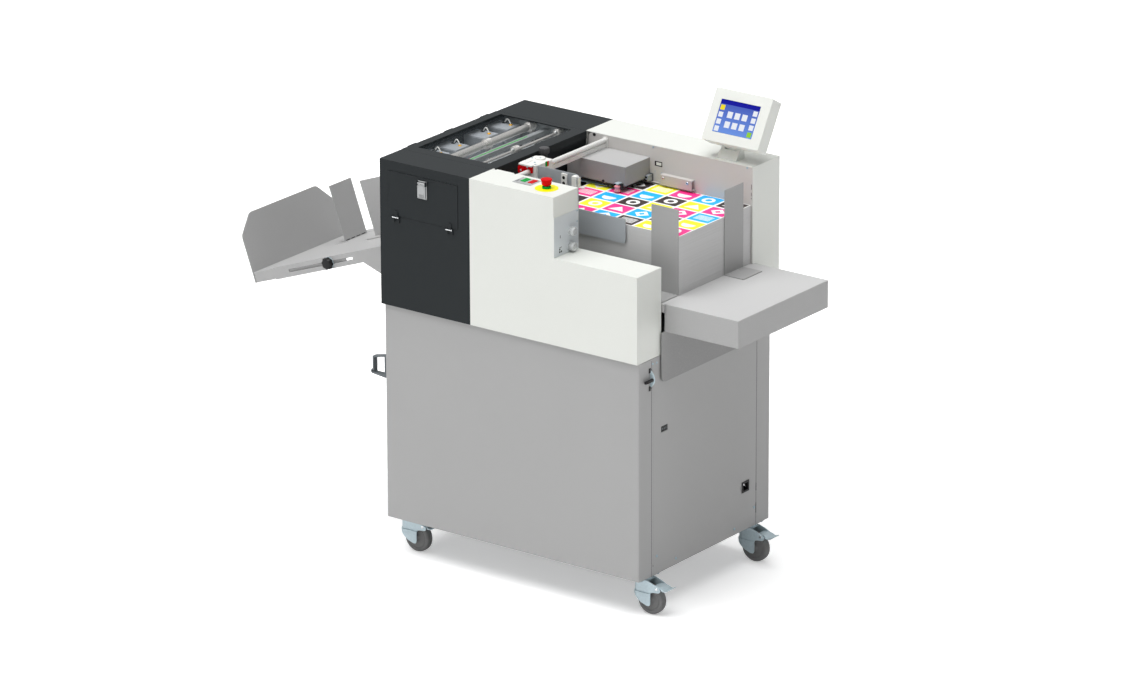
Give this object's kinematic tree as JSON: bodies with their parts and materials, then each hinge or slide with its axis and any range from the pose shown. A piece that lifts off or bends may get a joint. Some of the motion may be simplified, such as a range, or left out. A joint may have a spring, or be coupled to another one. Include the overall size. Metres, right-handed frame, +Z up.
{
  "type": "sheet creasing and perforating machine",
  "caption": "Floor-standing sheet-fed creasing and perforating machine with pile feeder, lid window, touch monitor, sloping delivery tray and a cabinet on braked castors",
  "frame": {"origin": "middle of the ground under the whole machine", "axes": "+X from the delivery tray to the feeder table, +Y from the operator to the back, +Z up"},
  "size_m": [1.6436, 0.638, 1.2735],
  "materials": {
    "painted_grey": "fine powder coat",
    "painted_dark": "satin powder coat",
    "painted_white": "satin powder coat",
    "painted_beige": "satin powder coat",
    "frame_steel": "zinc plated sheet and plate",
    "bright_steel": "ground and polished",
    "zinc": "pressed steel, blue zinc",
    "wheel_rubber": "grey tread",
    "black_plastic": "moulded",
    "white_plastic": "moulded",
    "silver_plastic": "satin metallised",
    "green_plastic": "moulded",
    "red_plastic": "moulded",
    "clear_pane": "clear sheet",
    "roller_rubber": "ground rubber",
    "paper": "printed sheets",
    "aluminium": "machined"
  },
  "bodies": {
    "base": {"cabinet_frame": "frame_steel", "cabinet_front_cover": "painted_grey", "cabinet_rear_cover": "painted_grey", "cabinet_side_right": "painted_grey", "cabinet_side_left": "painted_grey", "mains_inlet": "black_plastic", "docking_bow": "bright_steel", "dark_front_cover": "painted_dark", "dark_rear_cover": "painted_dark", "sheet_deck": "frame_steel", "actuator_bar": "aluminium", "operator_cover": "painted_white", "rear_housing": "painted_white", "feeder_back_plate": "painted_beige", "feed_head": "painted_grey", "guide_bar": "bright_steel", "tray_channel": "painted_grey"},
    "side_latch": {"side_latch": "black_plastic"},
    "lid": {"lid_frame": "painted_dark", "lid_window": "clear_pane"},
    "hatch": {"hatch_door": "painted_dark"},
    "hatch_handle": {"hatch_handle": "silver_plastic"},
    "perforating_bar": {"perforating_bar": "bright_steel"},
    "perforating_disc_front": {"perforating_disc_front": "bright_steel"},
    "perforating_disc_rear": {"perforating_disc_rear": "bright_steel"},
    "hold_down_bar": {"hold_down_bar": "bright_steel"},
    "crease_beam": {"crease_beam": "frame_steel"},
    "infeed_roller_upper": {"infeed_roller_upper": "roller_rubber"},
    "infeed_roller_lower": {"infeed_roller_lower": "roller_rubber"},
    "start_key": {"start_key": "green_plastic"},
    "stop_key": {"stop_key": "red_plastic"},
    "emergency_stop": {"emergency_stop": "red_plastic"},
    "air_knob_upper": {"air_knob_upper": "silver_plastic"},
    "air_knob_lower": {"air_knob_lower": "silver_plastic"},
    "monitor": {"monitor_case": "white_plastic"},
    "table": {"feed_table": "painted_grey", "paper_stack": "paper"},
    "near_guide": {"near_guide": "painted_grey"},
    "tail_guide": {"tail_guide": "painted_grey"},
    "suction_rotor": {"suction_rotor": "roller_rubber"},
    "side_guide": {"guide_carriage": "white_plastic", "side_guide": "frame_steel"},
    "clamp_lever": {"clamp_lever": "red_plastic"},
    "infeed_knob": {"infeed_knob": "black_plastic"},
    "tray_extension": {"tray_extension": "painted_grey"},
    "tray_knob": {"tray_knob": "black_plastic"},
    "tray_stop": {"tray_stop": "painted_grey"},
    "tray_guide": {"tray_guide": "painted_grey"},
    "castor_fork_front_left": {"castor_fork_front_left": "zinc"},
    "castor_wheel_front_left": {"castor_wheel_front_left": "wheel_rubber"},
    "castor_pedal_front_left": {"castor_pedal_front_left": "zinc"},
    "castor_fork_front_right": {"castor_fork_front_right": "zinc"},
    "castor_wheel_front_right": {"castor_wheel_front_right": "wheel_rubber"},
    "castor_pedal_front_right": {"castor_pedal_front_right": "zinc"},
    "castor_fork_rear_right": {"castor_fork_rear_right": "zinc"},
    "castor_wheel_rear_right": {"castor_wheel_rear_right": "wheel_rubber"},
    "castor_pedal_rear_right": {"castor_pedal_rear_right": "zinc"},
    "castor_fork_rear_left": {"castor_fork_rear_left": "zinc"},
    "castor_wheel_rear_left": {"castor_wheel_rear_left": "wheel_rubber"},
    "castor_pedal_rear_left": {"castor_pedal_rear_left": "zinc"}
  },
  "joints": [
    {"name": "castor_swivel_front_left", "type": "hinge", "parent": "base", "child": "castor_fork_front_left", "pos_m": [-0.2077, -0.244, 0.097], "axis": [0, 0, 1], "continuous": true},
    {"name": "castor_roll_front_left", "type": "hinge", "parent": "castor_fork_front_left", "child": "castor_wheel_front_left", "pos_m": [-0.1782, -0.244, 0.04], "axis": [0, 1, 0], "continuous": true},
    {"name": "castor_brake_front_left", "type": "hinge", "parent": "castor_fork_front_left", "child": "castor_pedal_front_left", "pos_m": [-0.1507, -0.244, 0.078], "axis": [0, 1, 0], "range_deg": [0, 12]},
    {"name": "castor_swivel_front_right", "type": "hinge", "parent": "base", "child": "castor_fork_front_right", "pos_m": [0.5573, -0.244, 0.097], "axis": [0, 0, 1], "continuous": true},
    {"name": "castor_roll_front_right", "type": "hinge", "parent": "castor_fork_front_right", "child": "castor_wheel_front_right", "pos_m": [0.5868, -0.244, 0.04], "axis": [0, 1, 0], "continuous": true},
    {"name": "castor_brake_front_right", "type": "hinge", "parent": "castor_fork_front_right", "child": "castor_pedal_front_right", "pos_m": [0.6143, -0.244, 0.078], "axis": [0, 1, 0], "range_deg": [0, 12]},
    {"name": "castor_swivel_rear_right", "type": "hinge", "parent": "base", "child": "castor_fork_rear_right", "pos_m": [0.5573, 0.224, 0.097], "axis": [0, 0, 1], "continuous": true},
    {"name": "castor_roll_rear_right", "type": "hinge", "parent": "castor_fork_rear_right", "child": "castor_wheel_rear_right", "pos_m": [0.5868, 0.224, 0.04], "axis": [0, 1, 0], "continuous": true},
    {"name": "castor_brake_rear_right", "type": "hinge", "parent": "castor_fork_rear_right", "child": "castor_pedal_rear_right", "pos_m": [0.6143, 0.224, 0.078], "axis": [0, 1, 0], "range_deg": [0, 12]},
    {"name": "castor_swivel_rear_left", "type": "hinge", "parent": "base", "child": "castor_fork_rear_left", "pos_m": [-0.2077, 0.224, 0.097], "axis": [0, 0, 1], "continuous": true},
    {"name": "castor_roll_rear_left", "type": "hinge", "parent": "castor_fork_rear_left", "child": "castor_wheel_rear_left", "pos_m": [-0.1782, 0.224, 0.04], "axis": [0, 1, 0], "continuous": true},
    {"name": "castor_brake_rear_left", "type": "hinge", "parent": "castor_fork_rear_left", "child": "castor_pedal_rear_left", "pos_m": [-0.1507, 0.224, 0.078], "axis": [0, 1, 0], "range_deg": [0, 12]},
    {"name": "side_latch_turn", "type": "hinge", "parent": "base", "child": "side_latch", "pos_m": [0.5718, -0.251, 0.647], "axis": [0, 1, 0], "range_deg": [-20, 20]},
    {"name": "lid_open", "type": "hinge", "parent": "base", "child": "lid", "pos_m": [-0.248, -0.01, 1.0974], "axis": [0, -1, 0], "range_deg": [0, 100]},
    {"name": "hatch_open", "type": "hinge", "parent": "base", "child": "hatch", "pos_m": [-0.1012, -0.3132, 0.9494], "axis": [1, 0, 0], "range_deg": [0, 95]},
    {"name": "hatch_handle_lift", "type": "hinge", "parent": "hatch", "child": "hatch_handle", "pos_m": [-0.1017, -0.316, 1.0585], "axis": [-1, 0, 0], "range_deg": [0, 60]},
    {"name": "perforating_bar_tilt", "type": "hinge", "parent": "base", "child": "perforating_bar", "pos_m": [-0.1292, -0.002, 1.08], "axis": [0, 1, 0], "range_deg": [0, 15]},
    {"name": "perforating_disc_front_spin", "type": "hinge", "parent": "perforating_bar", "child": "perforating_disc_front", "pos_m": [-0.1292, 0.002, 1.0273], "axis": [0, 1, 0], "continuous": true},
    {"name": "perforating_disc_rear_spin", "type": "hinge", "parent": "perforating_bar", "child": "perforating_disc_rear", "pos_m": [-0.1292, 0.19, 1.0273], "axis": [0, 1, 0], "continuous": true},
    {"name": "hold_down_bar_tilt", "type": "hinge", "parent": "base", "child": "hold_down_bar", "pos_m": [-0.0352, -0.002, 1.08], "axis": [0, 1, 0], "range_deg": [0, 12]},
    {"name": "crease_beam_press", "type": "slide", "parent": "base", "child": "crease_beam", "axis": [0, 0, -1], "range_m": [0, 0.0055]},
    {"name": "infeed_roller_lower_spin", "type": "hinge", "parent": "base", "child": "infeed_roller_lower", "pos_m": [0.0388, -0.002, 1.00065], "axis": [0, 1, 0], "continuous": true},
    {"name": "infeed_roller_upper_spin", "type": "hinge", "parent": "base", "child": "infeed_roller_upper", "pos_m": [0.0388, -0.002, 1.01535], "axis": [0, 1, 0], "continuous": true},
    {"name": "start_key_press", "type": "slide", "parent": "base", "child": "start_key", "axis": [0, 0, -1], "range_m": [0, 0.0015], "stiffness_N_per_m": 800},
    {"name": "stop_key_press", "type": "slide", "parent": "base", "child": "stop_key", "axis": [0, 0, -1], "range_m": [0, 0.0015], "stiffness_N_per_m": 800},
    {"name": "emergency_stop_press", "type": "slide", "parent": "base", "child": "emergency_stop", "axis": [0, 0, -1], "range_m": [0, 0.004]},
    {"name": "air_knob_upper_turn", "type": "hinge", "parent": "base", "child": "air_knob_upper", "pos_m": [0.3228, -0.239, 0.993], "axis": [1, 0, 0], "range_deg": [-135, 135]},
    {"name": "air_knob_lower_turn", "type": "hinge", "parent": "base", "child": "air_knob_lower", "pos_m": [0.3228, -0.239, 0.952], "axis": [1, 0, 0], "range_deg": [-135, 135]},
    {"name": "monitor_tilt", "type": "hinge", "parent": "base", "child": "monitor", "pos_m": [0.4948, 0.23906, 1.12698], "axis": [1, 0, 0], "range_deg": [-15, 20]},
    {"name": "table_lift", "type": "slide", "parent": "base", "child": "table", "axis": [0, 0, 1], "range_m": [0, 0.15], "deforming": ["paper_stack"]},
    {"name": "near_guide_slide", "type": "slide", "parent": "table", "child": "near_guide", "axis": [1, 0, 0], "range_m": [0, 0.23]},
    {"name": "tail_guide_slide", "type": "slide", "parent": "table", "child": "tail_guide", "axis": [1, 0, 0], "range_m": [0, 0.17]},
    {"name": "suction_rotor_spin", "type": "hinge", "parent": "base", "child": "suction_rotor", "pos_m": [0.1868, 0.14, 1.015], "axis": [0, 1, 0], "continuous": true},
    {"name": "side_guide_slide", "type": "slide", "parent": "base", "child": "side_guide", "axis": [0, 1, 0], "range_m": [-0.05, 0]},
    {"name": "clamp_lever_turn", "type": "hinge", "parent": "side_guide", "child": "clamp_lever", "pos_m": [0.0933, -0.142, 1.088], "axis": [0, 1, 0], "range_deg": [0, 70]},
    {"name": "infeed_knob_turn", "type": "hinge", "parent": "base", "child": "infeed_knob", "pos_m": [0.0698, -0.013, 1.091], "axis": [0, 0, 1], "range_deg": [-170, 170]},
    {"name": "tray_extension_slide", "type": "slide", "parent": "base", "child": "tray_extension", "axis": [-0.9397, 0, -0.342], "range_m": [-0.065, 0.125]},
    {"name": "tray_knob_turn", "type": "hinge", "parent": "tray_extension", "child": "tray_knob", "pos_m": [-0.50541, -0.21, 0.72936], "axis": [0, 1, 0], "range_deg": [-90, 90]},
    {"name": "tray_stop_slide", "type": "slide", "parent": "base", "child": "tray_stop", "axis": [-0.9397, 0, -0.342], "range_m": [-0.1, 0.04]},
    {"name": "tray_guide_slide", "type": "slide", "parent": "base", "child": "tray_guide", "axis": [0, 1, 0], "range_m": [-0.15, 0.15]}
  ],
  "couplings": [
    {"joint": "infeed_roller_upper_spin", "follows": "infeed_roller_lower_spin", "ratio": -1}
  ]
}
